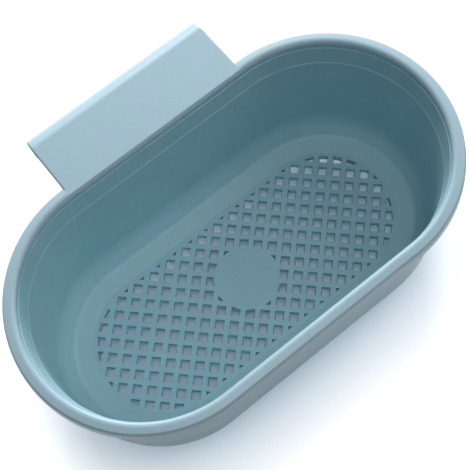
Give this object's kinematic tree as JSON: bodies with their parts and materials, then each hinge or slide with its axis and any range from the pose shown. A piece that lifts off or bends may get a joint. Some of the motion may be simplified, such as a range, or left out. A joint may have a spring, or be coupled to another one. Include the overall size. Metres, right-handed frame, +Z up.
{
  "type": "sink drain basket",
  "caption": "Oval strainer tub with a perforated lift-out floor, a rolled rim and a broad saddle hook on one long side for a sink's edge.",
  "frame": {"origin": "below the middle of the whole outline, hook included, on the plane that the feet stand on", "axes": "+X along the basket's length, +Y towards the hook, +Z up"},
  "size_m": [0.247, 0.1718, 0.0948],
  "materials": {
    "rim_plastic": "satin blue-grey polypropylene",
    "tub_plastic": "satin blue-grey polypropylene",
    "strainer_plastic": "satin blue-grey polypropylene",
    "foot_rubber": "matte soft plastic, a darker blue-grey",
    "pad_rubber": "matte soft plastic, a darker blue-grey"
  },
  "bodies": {
    "basket": {"hook_rim_frame": "rim_plastic", "basket_tub": "tub_plastic", "foot_front_left": "foot_rubber", "foot_front_right": "foot_rubber", "foot_back_left": "foot_rubber", "foot_back_right": "foot_rubber", "hook_grip_pad": "pad_rubber"},
    "strainer": {"strainer_floor": "strainer_plastic"}
  },
  "joints": [
    {"name": "strainer_lift", "type": "slide", "parent": "basket", "child": "strainer", "axis": [0, 0, 1], "range_m": [0, 0.095]}
  ]
}
